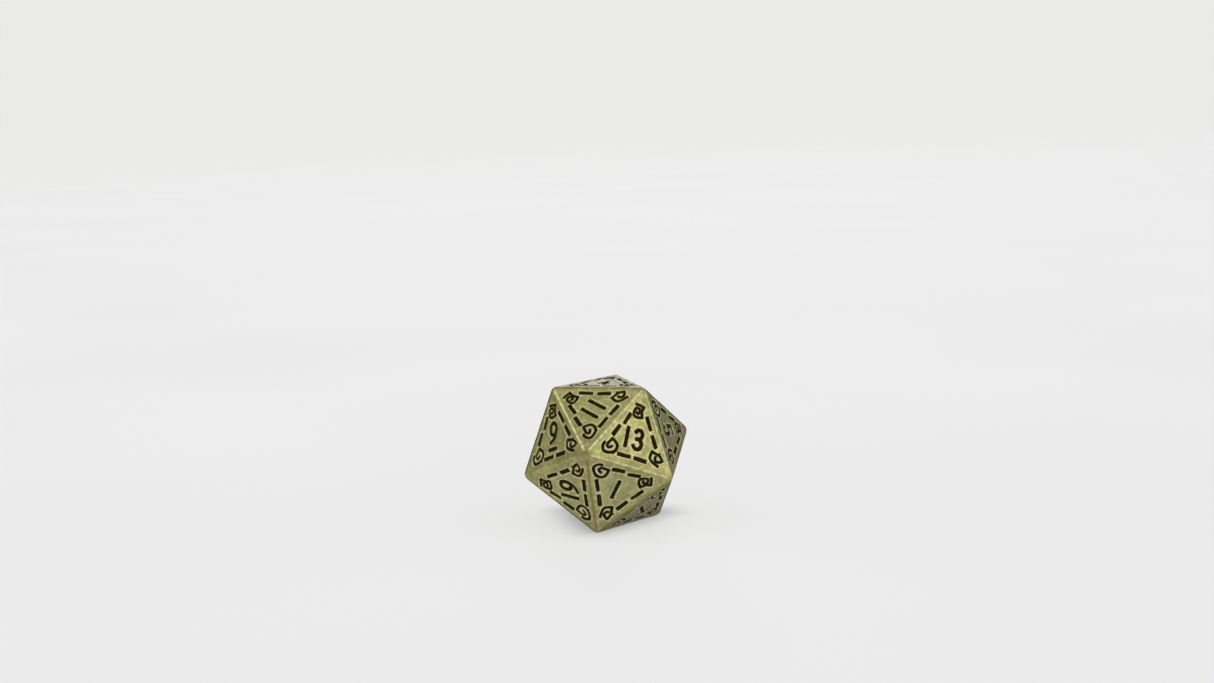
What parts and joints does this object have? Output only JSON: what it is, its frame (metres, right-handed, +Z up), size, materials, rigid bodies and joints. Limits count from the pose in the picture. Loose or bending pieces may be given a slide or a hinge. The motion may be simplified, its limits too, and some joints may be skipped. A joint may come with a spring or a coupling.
{
  "type": "polyhedral die",
  "caption": "Icosahedral gaming die cast in brass-finished metal, with rounded edges and enamel-filled engraved numerals, dashes and corner spirals.",
  "frame": {"origin": "point under the centre of the die, on the surface that it stands on", "axes": "+Z up, through the centre of the 4 face; the 13 face looks between -Y and +X; the numeral 4 points along +Y"},
  "size_m": [0.0212, 0.0242, 0.02],
  "materials": {
    "cast_metal": "antiqued",
    "enamel": "satin"
  },
  "bodies": {
    "root": {"die_casting": "cast_metal", "numeral_fill_1": "enamel", "numeral_fill_2": "enamel", "numeral_fill_3": "enamel", "numeral_fill_4": "enamel", "numeral_fill_5": "enamel", "numeral_fill_6": "enamel", "numeral_fill_6_underline": "enamel", "numeral_fill_7": "enamel", "numeral_fill_8": "enamel", "numeral_fill_9": "enamel", "numeral_fill_9_underline": "enamel", "numeral_fill_10_tens": "enamel", "numeral_fill_10_units": "enamel", "numeral_fill_11_tens": "enamel", "numeral_fill_11_units": "enamel", "numeral_fill_12_tens": "enamel", "numeral_fill_12_units": "enamel", "numeral_fill_13_tens": "enamel", "numeral_fill_13_units": "enamel", "numeral_fill_14_tens": "enamel", "numeral_fill_14_units": "enamel", "numeral_fill_15_tens": "enamel", "numeral_fill_15_units": "enamel", "numeral_fill_16_tens": "enamel", "numeral_fill_16_units": "enamel", "numeral_fill_17_tens": "enamel", "numeral_fill_17_units": "enamel", "numeral_fill_18_tens": "enamel", "numeral_fill_18_units": "enamel", "numeral_fill_19_tens": "enamel", "numeral_fill_19_units": "enamel", "numeral_fill_20_tens": "enamel", "numeral_fill_20_units": "enamel"}
  },
  "joints": []
}
